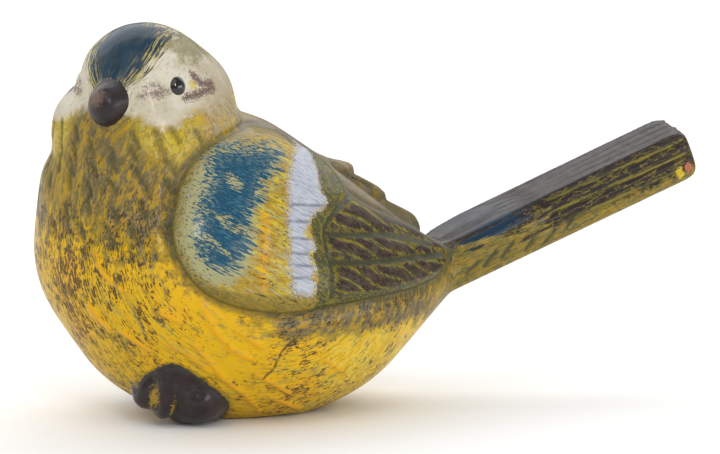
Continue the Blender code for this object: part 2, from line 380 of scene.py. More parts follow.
def new_group(name: str, inputs: dict[str, float | None],
              output: str) -> tuple[Wiring, dict[str, Value], bpy.types.NodeSocket]:
    """Start a shared node group.

    Args:
        name: Its name.
        inputs: Default of each input, None for a vector.
        output: Name of its one output.

    Returns:
        Its wiring, its input values by name and its output socket.
    """
    tree = bpy.data.node_groups.new(name, "ShaderNodeTree")
    for key, default in inputs.items():
        kind = "NodeSocketVector" if default is None else "NodeSocketFloat"
        socket = tree.interface.new_socket(key, in_out="INPUT", socket_type=kind)
        if default is not None:
            socket.default_value = default
    tree.interface.new_socket(output, in_out="OUTPUT", socket_type="NodeSocketFloat")
    given = tree.nodes.new("NodeGroupInput")
    taken = tree.nodes.new("NodeGroupOutput")
    wiring = Wiring(tree)
    return wiring, {key: Value(wiring, given.outputs[key]) for key in inputs}, taken.inputs[output]


@dataclass(frozen=True)
class BrushGroups:
    """The two effects of a hand-held brush that every painted finish shares."""

    bristle: bpy.types.NodeTree
    edge: bpy.types.NodeTree

    @classmethod
    def made(cls) -> "BrushGroups":
        """Build both groups once and return them."""
        bristle, given, mark = new_group(
            "bristle_marks", {"Flow": None, "Length": 6.0, "Width": 0.8, "Seed": 0.0}, "Mark")
        along, across = (bristle.math("DIVIDE", 1.0, given[key]) for key in ("Length", "Width"))
        shares = bristle.node("CombineXYZ", {0: along, 1: across, 2: across})
        placed = bristle.vector("MULTIPLY_ADD", given["Flow"], shares, given["Seed"])
        bristle.put(mark, bristle.noise(placed, 1.0, 3.5, 0.6).rise(0.26, 0.74))

        edge, given, mask = new_group(
            "painted_edge", {"Depth": 0.0, "Mark": 0.5, "Reach": 1.0, "Softness": 0.15}, "Mask")
        pushed = given["Depth"] + (given["Mark"] - 0.5) * (given["Reach"] * 2.0)
        edge.put(mask, pushed.rise(given["Softness"] * -1.0, given["Softness"]))
        return cls(bristle.tree, edge.tree)


def new_material(name: str) -> tuple[bpy.types.Material, Wiring, bpy.types.Node]:
    """Start a node material and return it with its wiring and its shader."""
    material = bpy.data.materials.new(name)
    material.use_nodes = True
    return material, Wiring(material.node_tree), material.node_tree.nodes["Principled BSDF"]


@dataclass
class Head:
    """Where the head is and how it is turned, with the paint on the face.

    Paint beside the beak is given as degrees round from the beak, and height.
    """

    middle: Point = (-22.6, -3.5, 62.0)
    facing: float = 39.5
    eye_turns: tuple[float, float] = (60.5, -66.0)
    eye_height: float = 70.5
    eye_radii: Point = (2.15, 1.9, 2.6)
    eye_bulges: tuple[float, float] = (0.25, -0.3)
    beak_turn: float = 2.0
    beak_base: Knots = ((12.2, 67.8), (5.0, 4.1, 5.5))
    beak_tip: Knots = ((16.4, 67.3), (3.85, 3.45, 4.35))
    unrolled: float = 0.26
    neck_heights: tuple[float, float] = (54.0, 62.0)
    cap_heights: tuple[float, ...] = (70.5, 71.5, 72.9, 74.5, 76.4, 78.3, 80.4)
    cap_half_widths: tuple[float, ...] = (3.4, 4.5, 5.8, 6.9, 7.4, 7.9, 7.6)
    cap_back: float = -0.5
    cap_round: float = 18.0
    cap_spread: float = 7.0
    crown_behind: float = 4.0
    cream_turns: tuple[float, ...] = (0.0, 19.0, 29.0, 41.0, 51.0, 61.0, 75.0, 90.0, 120.0)
    cream_heights: tuple[float, ...] = (66.8, 66.3, 64.8, 63.2, 63.1, 65.4, 67.1, 67.9, 69.0)
    stripe: Knots = ((27.0, 69.3), (35.0, 69.6), (44.0, 69.4), (52.0, 70.0))
    stripe_above: Knots = ((31.0, 70.9), (38.0, 71.5), (45.0, 71.0))
    stripe_behind: Knots = ((66.0, 68.6), (72.0, 68.9), (81.0, 69.5), (94.0, 70.2))
    stripe_rise: Knots = ((77.0, 73.2), (81.0, 71.8), (87.0, 71.0), (94.0, 71.2))
    lore_bump: tuple[Pair, float] = ((44.2, 70.2), 0.95)
    eye_spot: tuple[Pair, float] = ((75.5, 70.9), 0.9)
    beside_cap: tuple[Point, Point, float] = ((-1.0, 9.8, 78.8), (0.5, 1.6, 1.6), 5.0)

    def local(self, points: np.ndarray) -> np.ndarray:
        """Return points as forward, to the bird's left and up, from the head's axis."""
        back, right = turned(points[:, 0] - self.middle[0], points[:, 1] - self.middle[1],
                             self.facing)
        return np.stack((-back, -right, points[:, 2]), axis=1)

    def world(self, turn: float, out: float, height: float) -> Vector:
        """Return a point around the head, so many degrees round from the beak."""
        angle = math.radians(self.facing + turn)
        return Vector((self.middle[0] - math.cos(angle) * out,
                       self.middle[1] - math.sin(angle) * out, height))

    def unroll(self, points: np.ndarray) -> np.ndarray:
        """Return points as millimetres round from the beak, alike on both sides, and up."""
        local = self.local(points)
        turn = np.degrees(np.arctan2(local[:, 1], local[:, 0]))
        turn = np.where(turn < 0.0, -turn - abs(self.eye_turns[1]) + self.eye_turns[0], turn)
        return np.stack((turn * self.unrolled, local[:, 2]), axis=1)

    def away_from(self, flat: np.ndarray, *paths: Knots) -> np.ndarray:
        """Return the distance of unrolled points from the nearest of several paths."""
        return distance_to_any(flat, [tuple((turn * self.unrolled, up) for turn, up in path)
                                      for path in paths])

    def within(self, flat: np.ndarray, place: Pair, radius: float) -> np.ndarray:
        """Return the depth of unrolled points inside a round spot."""
        middle = np.array((place[0] * self.unrolled, place[1]))
        return radius - np.linalg.norm(flat - middle, axis=1)

    def flow(self, points: np.ndarray) -> np.ndarray:
        """Return strokes from the nape over the crown, which narrow towards the beak."""
        local = self.local(points)
        ahead, up = local[:, 0] + self.crown_behind, local[:, 2] - self.middle[2]
        spread = np.interp(local[:, 2], self.cap_heights, self.cap_half_widths)
        return np.stack((np.arctan2(up, ahead) * self.cap_round, np.hypot(up, ahead),
                         local[:, 1] / spread * self.cap_spread), axis=1)

    def fields(self, points: np.ndarray) -> Fields:
        """Return the depth of points inside each painted area of the head."""
        local = self.local(points)
        local[:, 1] = np.abs(local[:, 1])
        forward, left, up = local.T
        flat = self.unroll(points)
        turn = flat[:, 0] / self.unrolled
        low, high = self.neck_heights
        neck = low + (high - low) * eased(points[:, 0], -20.0, -4.0)
        half_width = np.interp(up, self.cap_heights, self.cap_half_widths)
        in_cap = np.minimum(half_width - left, up - self.cap_heights[0])
        above = self.away_from(flat, self.stripe_above) + 0.15
        beside, weights, radius = self.beside_cap
        return {
            "head": np.minimum(up - neck, 8.0 - points[:, 0]),
            "cap": np.minimum(in_cap, forward - self.cap_back),
            "cream": up - np.interp(turn, self.cream_turns, self.cream_heights),
            "cheek": eased(turn, 14.0, 34.0) * (1.0 - eased(turn, 150.0, 175.0)),
            # Painted shade on the side of the head towards the nape
            "turned_away_shade": eased(turn, 45.0, 105.0),
            "lore": 0.5 - np.minimum(self.away_from(flat, self.stripe), above),
            "marks": 0.75 - self.away_from(flat, self.stripe_behind, self.stripe_rise),
            "lore_bump": self.within(flat, *self.lore_bump),
            "eye_spot": self.within(flat, *self.eye_spot),
            "beside_cap": radius - np.sqrt((local - beside) ** 2 @ np.array(weights)),
        }


@dataclass
class Wing:
    """Both wings as seen from the side: along the bird and up."""

    outline: Knots = (
        (-9.0, 59.6), (-16.0, 57.2), (-21.0, 52.2), (-24.2, 44.0), (-24.0, 38.0), (-19.8, 31.4),
        (-12.0, 27.2), (-2.0, 25.6), (8.0, 26.4), (20.0, 27.0), (32.0, 27.4), (39.5, 28.8),
        (42.6, 32.0), (39.8, 34.4), (33.8, 37.8), (24.0, 41.9), (17.2, 46.6), (15.2, 51.6),
        (9.0, 56.4), (-1.0, 60.2))
    bar: Knots = (
        (8.4, 57.4), (5.0, 57.0), (2.6, 54.2), (0.8, 51.4), (-0.1, 46.9), (-0.9, 43.0),
        (-0.7, 40.0), (-1.4, 36.0), (-1.0, 32.0), (-1.0, 29.4), (3.2, 28.4), (3.9, 31.0),
        (3.2, 32.4), (4.6, 34.0), (3.0, 36.2), (4.6, 38.0), (4.2, 39.6), (2.6, 40.6), (4.0, 43.0),
        (5.4, 44.4), (9.4, 46.2), (8.6, 48.4), (8.9, 50.6), (9.4, 54.4))
    bar_laps: tuple[float, ...] = (46.9, 43.6, 40.2, 37.2, 34.8, 32.2)
    bar_slope: float = 0.12
    bar_middle: float = 2.0
    patch: Knots = (
        (-13.3, 58.1), (-7.0, 58.2), (0.0, 57.1), (-0.8, 54.6), (-4.1, 52.6), (-7.2, 48.3),
        (-9.4, 45.4), (-10.4, 40.2), (-12.6, 36.6), (-15.6, 34.6), (-19.7, 36.6), (-20.8, 39.1),
        (-20.8, 44.2), (-18.9, 49.6), (-16.8, 52.4), (-16.2, 55.6))
    patch_gaps: tuple[Knots, ...] = (
        ((-11.7, 52.0), (1.6, 1.0)), ((-15.0, 44.0), (2.2, 0.45)), ((-17.1, 39.6), (2.4, 0.4)),
        ((-10.6, 42.5), (1.8, 0.35)))
    gap_slant: float = -40.0
    quills: Knots = (
        (8.4, 41.2), (11.8, 43.8), (16.0, 46.4), (24.0, 42.6), (33.8, 38.4), (40.6, 34.6),
        (42.6, 32.0), (39.0, 29.4), (32.0, 28.4), (20.0, 28.2), (9.2, 28.6), (9.0, 34.0))
    lines: tuple[Knots, ...] = (
        ((16.6, 46.4), (11.6, 44.4), (8.2, 41.6), (7.7, 38.0), (8.5, 33.0), (8.0, 27.6)),
        ((8.0, 40.4), (15.6, 39.4), (25.6, 38.2), (37.4, 34.8)),
        ((8.4, 34.8), (17.2, 33.8), (30.0, 33.1), (41.4, 32.2)))
    ridge: Knots = ((-6.0, 45.0), (-7.0, 39.0), (-7.6, 34.0), (-7.0, 30.6))
    slant: float = -28.0
    barb_gap: float = 2.6
    barb_sway: float = 0.4
    clear_of_middle: float = 7.0
    margin: float = 0.4
    margin_at_foot: float = 3.2
    foot_of_margin: tuple[float, float] = (27.0, 34.0)
    rim_reach: Knots = ((-22.0, -14.0, -7.0), (5.0, 3.0, 0.6))

    def flow(self, points: np.ndarray) -> np.ndarray:
        """Return strokes that run back and down across the wing."""
        return np.stack((*turned(points[:, 0], points[:, 2], self.slant), points[:, 1]), axis=1)

    def fields(self, points: np.ndarray) -> Fields:
        """Return the depth of points inside each painted area of the wings."""
        view = points[:, (0, 2)]
        x, z = view.T
        gaps = np.full(len(points), -FAR)
        for middle, (long, wide) in self.patch_gaps:
            along, across = turned(x - middle[0], z - middle[1], self.gap_slant)
            gaps = np.maximum(gaps, wide * (1.0 - np.hypot(along / long, across / wide)))
        depth = depth_inside(view, smooth_path(self.outline, closed=True))
        patch = depth_inside(view, smooth_path(self.patch, closed=True))
        off_middle = np.abs(points[:, 1]) - self.clear_of_middle
        along, across, _ = self.flow(points).T
        barbs = (across + self.barb_sway * np.sin(along * 0.5)) / self.barb_gap
        low = 1.0 - eased(z, *self.foot_of_margin)
        return {
            "wing": np.minimum(depth, off_middle),
            "margin": depth - self.margin - self.margin_at_foot * low,
            "barbs": 0.5 - 0.5 * np.cos(2.0 * math.pi * barbs),
            "bar": depth_inside(view, smooth_path(self.bar, closed=True, steps=4)),
            "bar_laps": np.min([np.abs(z - lap + self.bar_slope * x) for lap in self.bar_laps],
                               axis=0),
            "patch": patch,
            "patch_gaps": gaps,
            "quills": np.minimum(depth_inside(view, np.array(self.quills + self.quills[:1])),
                                 off_middle),
            "wing_lines": distance_to_any(view, self.lines),
            "ridge": distance_to(view, smooth_path(self.ridge)),
            "rearwards": x - self.bar_middle,
            "rim": patch + np.interp(x, *self.rim_reach),
        }


@dataclass
class Tail:
    """The tail's place and the feathers along it, grooves given at its root and tip."""

    root: Point = (30.0, 0.0, 23.1)
    rise: float = 21.4
    reach: float = 78.0
    carved_from: float = 30.0
    painted_from: float = 15.0
    side_grooves: Knots = ((4.6, 3.3), (1.9, 0.3), (-1.2, -2.6))
    top_grooves: Knots = ((-4.6, -6.0), (-1.2, -2.0), (1.6, 2.2), (4.8, 6.2))
    strokes: tuple[Knots, ...] = (
        ((47.2, 27.3), (50.4, 29.9)), ((51.4, 28.6), (54.4, 32.0)), ((55.5, 30.3), (58.3, 33.6)),
        ((61.2, 31.7), (64.1, 35.4)), ((65.2, 32.2), (68.4, 36.0)), ((70.4, 35.4), (73.0, 38.6)),
        ((43.2, 28.4), (44.6, 33.0)))
    blue: Knots = ((27.5, 3.9), (7.5, 1.3))

    def local(self, points: np.ndarray) -> np.ndarray:
        """Return points along the tail, across it and above its middle."""
        x, y, z = (points - np.array(self.root)).T
        along, above = turned(x, z, self.rise)
        return np.stack((along, y, above), axis=1)

    def fields(self, points: np.ndarray, normals: np.ndarray) -> Fields:
        """Work out the painted areas of the tail.

        Args:
            points: The skin's points.
            normals: Their directions outwards.

        Returns:
            Depth inside each area and distance to the feather grooves.
        """
        local = self.local(points)
        along, across, above = local.T
        share = (along - self.carved_from) / (self.reach - self.carved_from)
        facing = self.local(normals + np.array(self.root))
        on_side = eased(np.abs(facing[:, 1]), 0.5, 0.9)
        on_top = eased(facing[:, 2], 0.5, 0.9)
        away = [np.min([np.abs(place - at_root - (at_tip - at_root) * share)
                        for at_root, at_tip in grooves], axis=0, initial=FAR) + FAR * (1.0 - faces)
                for place, grooves, faces in ((above, self.side_grooves, on_side),
                                              (across, self.top_grooves, on_top))]
        strokes = distance_to_any(points[:, (0, 2)], self.strokes, smooth=False)
        return {
            "tail": along - self.painted_from - 0.5 * above,
            "tail_share": share,
            "tail_above": above,
            "tail_lines": np.minimum(*away) + 6.0 * (1.0 - eased(share, 0.0, 0.25)),
            "tail_strokes": strokes + 6.0 * (1.0 - on_side),
            "tail_top": on_top,
            "tail_blue": inside_oval(local[:, (0, 2)], *self.blue),
        }


@dataclass
class Feet:
    """The clenched feet from the side, given for the left one: along the bird and up."""

    outline: Knots = (
        (-28.6, 8.2), (-27.2, 11.2), (-24.9, 13.6), (-23.0, 14.1), (-19.5, 12.2), (-15.0, 8.9),
        (-9.8, 4.2), (-10.4, -1.0), (-22.0, -2.0), (-29.8, 1.0))
    creases: tuple[Knots, ...] = (((-25.6, 11.0), (-24.9, 2.0)), ((-22.4, 9.8), (-21.4, 0.5)))
    lumps: tuple[Knots, ...] = (
        ((-27.7, 6.5), (2.5, 5.2)), ((-23.7, 6.6), (2.1, 5.4)), ((-16.2, 5.2), (5.9, 4.8)),
        ((-22.8, 12.0), (3.4, 2.2)))
    touches: tuple[Knots, ...] = (((-25.7, 6.8), (0.55, 2.0)), ((-22.3, 3.8), (0.5, 2.2)))
    right_shift: float = 9.0
    clear_of_middle: float = 9.3

    def fields(self, points: np.ndarray) -> Fields:
        """Return depth in both feet, distance to their creases and a lump's share of height."""
        right = points[:, 1] > 0.0
        view = points[:, (0, 2)] - np.stack((right * self.right_shift, right * 0.0), axis=1)
        depth = depth_inside(view, smooth_path(self.outline, closed=True))
        touch, lump = (np.max([inside_oval(view, *oval) for oval in ovals], axis=0)
                       for ovals in (self.touches, self.lumps))
        return {
            "foot": np.minimum(depth, np.abs(points[:, 1]) - self.clear_of_middle),
            "foot_touch": touch,
            "creases": distance_to_any(view, self.creases, smooth=False),
            "lumps": np.sqrt(np.clip(1.0 - (1.0 - lump) ** 2, 0.0, 1.0)),
        }


@dataclass
class Breast:
    """The rows of short strokes pressed in below the face."""

    rows: tuple[float, ...] = (62.5, 59.5, 56.0, 52.0, 47.5, 43.0)
    axis: float = -14.0
    unrolled: float = 25.0
    reach: float = 44.0
    stagger: float = 2.0
    gap: float = 4.6
    gap_growth: float = 0.25
    jitter: float = 0.9
    lengths: tuple[float, float] = (2.4, 3.8)
    kept: float = 0.8
    seed: int = 5

    def distance(self, points: np.ndarray) -> np.ndarray:
        """Return the distance to the nearest stroke, large away from the breast."""
        random = np.random.default_rng(self.seed)
        turn = np.arctan2(-points[:, 1], self.axis - points[:, 0])
        view = np.stack((turn * self.unrolled, points[:, 2]), axis=1)
        nearest = np.full(len(points), FAR)
        for row, height in enumerate(self.rows):
            first = self.stagger * (row % 2) - self.reach
            for place in np.arange(first, self.reach + 1.0, self.gap + self.gap_growth * row):
                start = np.array((place, height)) + random.uniform(-self.jitter, self.jitter, 2)
                lean = np.sign(place) * (0.25 + abs(place) / 60.0)
                size = random.uniform(*self.lengths)
                end = start + size * np.array((lean, -1.0)) / math.hypot(lean, 1.0)
                if random.random() < self.kept:
                    nearest = np.minimum(nearest, distance_to(view, np.array((start, end))))
        return nearest + FAR * eased(points[:, 0], self.axis, self.axis + 6.0)


class Feather(NamedTuple):
    """One feather over the back: its tip, its size and the step down behind it."""

    x: float
    y: float
    length: float
    width: float
    drop: float


class Groove(NamedTuple):
    """Half width and depth of a groove."""

    width: float
    depth: float


@dataclass(frozen=True)
class Carving:
    """How deep the relief is cut and how high it stands."""

    wing_edge: Groove = Groove(1.1, 0.55)
    wing_edge_at: float = 1.3
    wing_lines: Groove = Groove(0.9, 0.2)
    pressed: Groove = Groove(0.95, 0.6)
    creases: Groove = Groove(0.7, 0.5)
    foot_edge: Groove = Groove(0.7, 0.3)
    marks: Groove = Groove(0.6, 0.15)
    tail_lines: Groove = Groove(0.8, 0.35)
    tail_strokes: Groove = Groove(0.8, 0.45)
    crack: Groove = Groove(0.5, 0.15)
    bar_laps: Groove = Groove(0.7, 0.4)
    bar: float = 0.25
    barbs: float = 0.22
    wing_ridge: float = 0.3
    lumps: float = 0.6
    lore_bump: float = 0.3
    belly_ridges: float = 0.5
    tail_top: float = 0.75
    nick: float = 0.5
    feather_lip: float = 0.4
    # Depth of a hollow that takes the full painted shade
    full_hollow: float = 0.35

    def height(self, found: Fields, normals: np.ndarray) -> np.ndarray:
        """Work out how far each point is carved in or built up.

        Args:
            found: The painted areas.
            normals: The points' directions outwards.

        Returns:
            Height along the normal.
        """
        wing, foot, tail = found["wing"], found["foot"], found["tail"]
        sideways = eased(np.abs(normals[:, 1]), 0.15, 0.4) * eased(wing, -4.0, -2.6)
        grooves = (
            (np.abs(wing + self.wing_edge_at), self.wing_edge, sideways),
            (found["wing_lines"], self.wing_lines, sideways),
            (found["pressed"], self.pressed, eased(wing, -0.5, -2.0)),
            (found["creases"], self.creases, eased(foot, 0.0, 1.0)),
            (np.abs(foot), self.foot_edge, 1.0),
            (0.75 - found["marks"], self.marks, 1.0),
            (found["tail_lines"], self.tail_lines, eased(tail, 10.0, 20.0)),
            (found["tail_strokes"], self.tail_strokes, eased(tail, 0.0, 6.0)),
            (found["crack"], self.crack, 1.0))
        height = sum(cut(distance, *groove) * share for distance, groove, share in grooves)
        on_quills = eased(found["quills"], 0.3, 1.4) * sideways
        height -= self.barbs * found["barbs"] ** 2 * on_quills
        on_bar = eased(found["bar"], -0.1, 0.5) * sideways
        height += on_bar * (self.bar + cut(found["bar_laps"], *self.bar_laps))
        height += self.wing_ridge * (1.0 - eased(found["ridge"], 0.2, 1.5)) * sideways
        height += self.lumps * found["lumps"] * eased(foot, -0.1, 1.0)
        height += self.lore_bump * eased(found["lore_bump"], 0.0, 0.6)
        height += self.belly_ridges * (1.0 - eased(found["ridges"], 0.05, 0.8))
        on_tail = found["tail_top"] * eased(tail, 12.0, 20.0)
        height += self.tail_top * (1.0 - eased(found["tail_lines"], 0.1, 1.0)) * on_tail
        return height - self.nick * eased(found["nick"], 0.0, 0.5)

    def steps(self, points: np.ndarray, normals: np.ndarray, feathers: tuple[Feather, ...],
              turn: float) -> np.ndarray:
        """Work out the height of the overlapping tips of the feathers over the back.

        Args:
            points: The skin's points.
            normals: Their directions outwards.
            feathers: The feathers.
            turn: Degrees that they are turned about Z.

        Returns:
            Height along the normal.
        """
        height = np.zeros(len(points))
        for feather in feathers:
            along, across = turned(points[:, 0] - feather.x, points[:, 1] - feather.y, -turn)
            half_length, half_width = 0.5 * feather.length, 0.5 * feather.width
            away = np.hypot(along / half_length + 1.0, across / half_width)
            inside = (1.0 - away) * half_width
            lip = eased(inside, -0.1, 0.5) * (1.0 - eased(inside, 0.6, 4.0))
            below = (1.0 - eased(inside, -0.6, 0.0)) * eased(inside, -7.0, -0.8)
            height += self.feather_lip * lip - feather.drop * below
        faces_up = eased(normals[:, 2], 0.15, 0.5) * eased(points[:, 2], 28.0, 32.0)
        return height * faces_up * eased(points[:, 0], 16.0, 26.0)


@dataclass
class Skin:
    """The fine skin of the casting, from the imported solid."""

    head: Head
    wing: Wing
    tail: Tail
    feet: Feet
    breast: Breast
    carving: Carving
    back_feathers: tuple[Feather, ...] = (
        Feather(25.6, 2.0, 34.0, 17.0, 1.5), Feather(33.4, 2.0, 34.0, 15.0, 1.2),
        Feather(41.6, 2.5, 34.0, 13.0, 0.8))
    back_turn: float = 15.0
    cell: float = 0.58
    softening: int = 4
    belly_middle: tuple[float, float] = (-6.0, 42.0)
    belly_arc: float = 30.0
    ridges: tuple[Knots, ...] = (
        ((-20.0, 18.8), (-13.6, 11.5), (-8.6, 7.6), (-2.7, 2.6)), ((-27.7, 25.8), (-23.0, 23.6)),
        ((-24.7, 18.7), (-20.4, 16.1), (-16.0, 12.5)), ((-6.9, 11.9), (1.8, 7.0)),
        ((-13.0, 17.4), (-7.9, 15.1)), ((8.0, 14.1), (13.6, 10.6)),
        ((-38.6, 37.6), (-37.4, 33.8), (-34.3, 30.3)), ((-12.3, 21.8), (-6.6, 17.7)),
        ((-38.8, 26.4), (-37.0, 23.8), (-34.8, 21.5)), ((-2.3, 6.3), (6.6, 2.2)),
        ((-33.2, 21.2), (-27.5, 17.1)), ((-19.8, 28.3), (-16.6, 21.9), (-11.8, 17.0)))
    bright: Knots = ((-24.0, 33.0), (-17.9, 28.3), (-13.5, 21.8), (-12.0, 14.0))
    bright_width: float = 5.5
    dark_cluster: Knots = ((-37.0, 34.5), (4.5, 5.0))
    crack: Knots = ((0.2, 19.1), (-1.6, 17.6), (-2.6, 16.0), (-3.6, 12.6), (-5.4, 10.9))
    off_other_side: float = 20.0
    nick: Knots = ((100.0, -9.0, 47.6), (0.75, 3.0, 1.3))
    nick_beside: Knots = ((97.9, -9.3, 46.5), (0.8, 3.0, 1.2))

    def flow(self, points: np.ndarray) -> np.ndarray:
        """Return strokes that run round the belly in the side view."""
        x, z = (points[:, (0, 2)] - np.array(self.belly_middle)).T
        around = np.arctan2(-z, -x) * self.belly_arc
        return np.stack((around, np.hypot(x, z), points[:, 1]), axis=1)

    def fields(self, points: np.ndarray, normals: np.ndarray) -> Fields:
        """Gather every painted area of the casting.

        Args:
            points: The skin's points.
            normals: Their directions outwards.

        Returns:
            One number per point for each area.
        """
        x, y, z = points.T
        view = points[:, (0, 2)]
        found = {**self.head.fields(points), **self.wing.fields(points),
                 **self.tail.fields(points, normals), **self.feet.fields(points)}
        washed = eased(z + 0.25 * (x + 30.0), 25.0, 49.0) * (1.0 - eased(x, -20.0, -8.0))
        # Painted shade: an olive band under the wing's lower edge
        shade_below_wing = np.exp(-((found["wing"] + 3.6) / 3.6) ** 2) * eased(x, -16.0, 4.0)
        behind = 0.5 * eased(x, 30.0, 42.0) + 0.25 * eased(z, 14.0, 24.0) * eased(x, -4.0, 14.0)
        calm = np.exp(-(distance_to(view, smooth_path(self.bright)) / self.bright_width) ** 2)
        cluster = np.exp(-(1.0 - inside_oval(view, *self.dark_cluster)) ** 2)
        flecks = (0.43 + 0.34 * eased(-x, 18.0, 34.0) + 0.45 * cluster
                  - 0.7 * eased(z, 42.0, 52.0) + 0.2 * (1.0 - eased(z, 6.0, 16.0)) - 0.5 * calm)
        off_sides = FAR * eased(-np.abs(normals[:, 1]), -0.3, -0.1)
        return {
            **found,
            # Olive of the breast wash and the rear, with the painted shade under the wing
            "olive": np.clip(np.maximum(washed, shade_below_wing) + behind, 0.0, 1.0),
            # Painted sheen: grey-brown where the back between the wings faces up
            "back": eased(normals[:, 2], 0.25, 0.7) * eased(x, -10.0, -2.0) * eased(z, 24.0, 30.0),
            "flecks": np.clip(flecks, 0.0, 1.0),
            # Pale lemon low on the right, partly own tone and partly painted light
            "pale": eased(x, -4.0, 18.0) * (1.0 - eased(z, 22.0, 30.0)),
            "bright": calm,
            "pressed": self.breast.distance(points),
            "ridges": distance_to_any(view, self.ridges) + off_sides,
            "crack": distance_to(view, smooth_path(self.crack)) + self.off_other_side * (y > 0.0),
            "nick": inside_oval(points, *self.nick) + 0.1,
            "nick_beside": inside_oval(points, *self.nick_beside),
        }

    def build(self, finish: bpy.types.Material) -> bpy.types.Object:
        """Refine, carve and mark the skin.

        Args:
            finish: The casting's material.

        Returns:
            The skin.
        """
        bm = bmesh.new()
        bm.from_mesh(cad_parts[NODE].data)
        bmesh.ops.remove_doubles(bm, verts=bm.verts, dist=1e-6)
        mesh = with_modifiers(mesh_from("rough", bm),
                              ("SUBSURF", {"levels": 1, "render_levels": 1}),
                              ("REMESH", {"mode": "VOXEL", "voxel_size": self.cell * MM}),
                              ("SMOOTH", {"factor": 0.5, "iterations": self.softening}))
        points, normals = np.empty((2, len(mesh.vertices) * 3))
        mesh.vertices.foreach_get("co", points)
        mesh.vertices.foreach_get("normal", normals)
        points, normals = points.reshape(-1, 3) / MM, normals.reshape(-1, 3)
        found = self.fields(points, normals)
        height = self.carving.height(found, normals)
        steps = self.carving.steps(points, normals, self.back_feathers, self.back_turn)
        low, high = (np.array(corner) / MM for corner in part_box(NODE))
        carved = np.clip(points + normals * (height + steps)[:, None], low, high)
        mesh.vertices.foreach_set("co", (carved * MM).ravel())
        mesh.update()
        # Painted shade in the carved hollows, by their depth
        found["hollow"] = np.clip(-height / self.carving.full_hollow, 0.0, 1.0)
        # Painted shade where the surface steps down below each back feather's tip
        found["tips"] = np.clip(-steps - 0.2, 0.0, 1.0)
        flows = {"belly_flow": self.flow(points), "head_flow": self.head.flow(points),
                 "wing_flow": self.wing.flow(points), "tail_flow": self.tail.local(points),
                 "face_flow": np.append(self.head.unroll(points), points[:, :1], axis=1)}
        for kind, key, carried in (("FLOAT", "value", found), ("FLOAT_VECTOR", "vector", flows)):
            for name, values in carried.items():
                data = mesh.attributes.new(name, kind, "POINT").data
                data.foreach_set(key, values.astype(np.float32).ravel())
        return piece("painted_skin", mesh, finish)


class Brushing(NamedTuple):
    """One pass of a brush: the flow it follows and its marks' size."""

    flow: str
    length: float
    width: float
    seed: float


BRUSHINGS = {
    "belly_fine": Brushing("belly_flow", 2.0, 0.26, 1.0),
    "belly_broad": Brushing("belly_flow", 6.0, 1.5, 4.0),
    "belly_streaks": Brushing("belly_flow", 14.0, 0.5, 15.0),
    "belly_dabs": Brushing("belly_flow", 3.6, 1.3, 9.0),
    "belly_hairs": Brushing("belly_flow", 4.0, 0.4, 19.0),
    "belly_smear": Brushing("belly_flow", 3.0, 0.45, 1.0),
    "foot_touch": Brushing("belly_flow", 2.0, 0.3, 8.0),
    "cap_hairs": Brushing("head_flow", 5.0, 0.4, 2.0),
    "cap_scratches": Brushing("head_flow", 7.0, 0.34, 7.0),
    "face_grain": Brushing("face_flow", 3.2, 0.26, 13.0),
    "wing_strokes": Brushing("wing_flow", 4.6, 0.36, 3.0),
    "wing_broad": Brushing("wing_flow", 5.0, 1.6, 6.0),
    "wing_marbling": Brushing("wing_flow", 2.8, 0.9, 21.0),
    "wing_swirls": Brushing("wing_flow", 3.6, 1.6, 43.0),
    "wing_dabs": Brushing("wing_flow", 4.0, 0.6, 47.0),
    "wing_bold": Brushing("wing_flow", 8.0, 0.5, 41.0),
    "wing_dry": Brushing("wing_flow", 5.0, 0.3, 35.0),
    "wing_scratches": Brushing("wing_flow", 6.0, 0.3, 31.0),
    "bar_strokes": Brushing("wing_flow", 3.4, 0.3, 5.0),
    "bar_edge": Brushing("face_flow", 3.0, 0.3, 33.0),
    "tail_long": Brushing("tail_flow", 10.0, 0.5, 11.0),
    "tail_broad": Brushing("tail_flow", 12.0, 1.8, 12.0),
    "tail_marbling": Brushing("tail_flow", 6.0, 0.9, 29.0),
    "tail_swirls": Brushing("tail_flow", 4.5, 1.2, 23.0),
}


class Coats:
    """The noises, areas and brush marks that coats of paint are laid through."""

    def __init__(self, wiring: Wiring, brush: BrushGroups) -> None:
        """Lay the three noises: specks, blots and slow drifts."""
        self.wiring = wiring
        self.brush = brush
        place = wiring.place()
        self.speck = wiring.noise(place, 1500.0, 2.0).rise(0.3, 0.7)
        self.blot = wiring.noise(place, 420.0, 4.0, 0.65).rise(0.3, 0.7)
        self.drift = wiring.noise(place, 110.0).rise(0.3, 0.7)

    def __getitem__(self, area: str) -> Value:
        """Read a painted area from the skin."""
        return self.wiring.attribute(area)

    def over(self, under: object) -> Layers:
        """Start layers from an undercoat."""
        return Layers(self.wiring, under)

    def mark(self, name: str) -> Value:
        """Place one of the brushings."""
        flow, length, width, seed = BRUSHINGS[name]
        return self.wiring.group(self.brush.bristle, Flow=self.wiring.attribute(flow, "Vector"),
                                 Length=length, Width=width, Seed=seed)

    def squiggle(self, name: str) -> Value:
        """Place thin marbled lines, where a brushing is half strong."""
        return abs(self.mark(name) - 0.5).rise(0.12, 0.02)

    def edge(self, depth: object, marks: Value, reach: float, softness: float) -> Value:
        """Place a brushed edge where a depth, or an area's depth, crosses zero.

        Args:
            depth: The depth, or the name of an area.
            marks: The marks that make it ragged.
            reach: How far they move it.
            softness: Half the width of its fade.

        Returns:
            The mask.
        """
        if isinstance(depth, str):
            depth = self[depth]
        return self.wiring.group(self.brush.edge, Depth=depth, Mark=marks, Reach=reach,
                                 Softness=softness)

    def wander(self, depth: Value, reach: float) -> Value:
        """Let a depth wander with the blots."""
        return (self.blot - 0.5) * (2.0 * reach) + depth


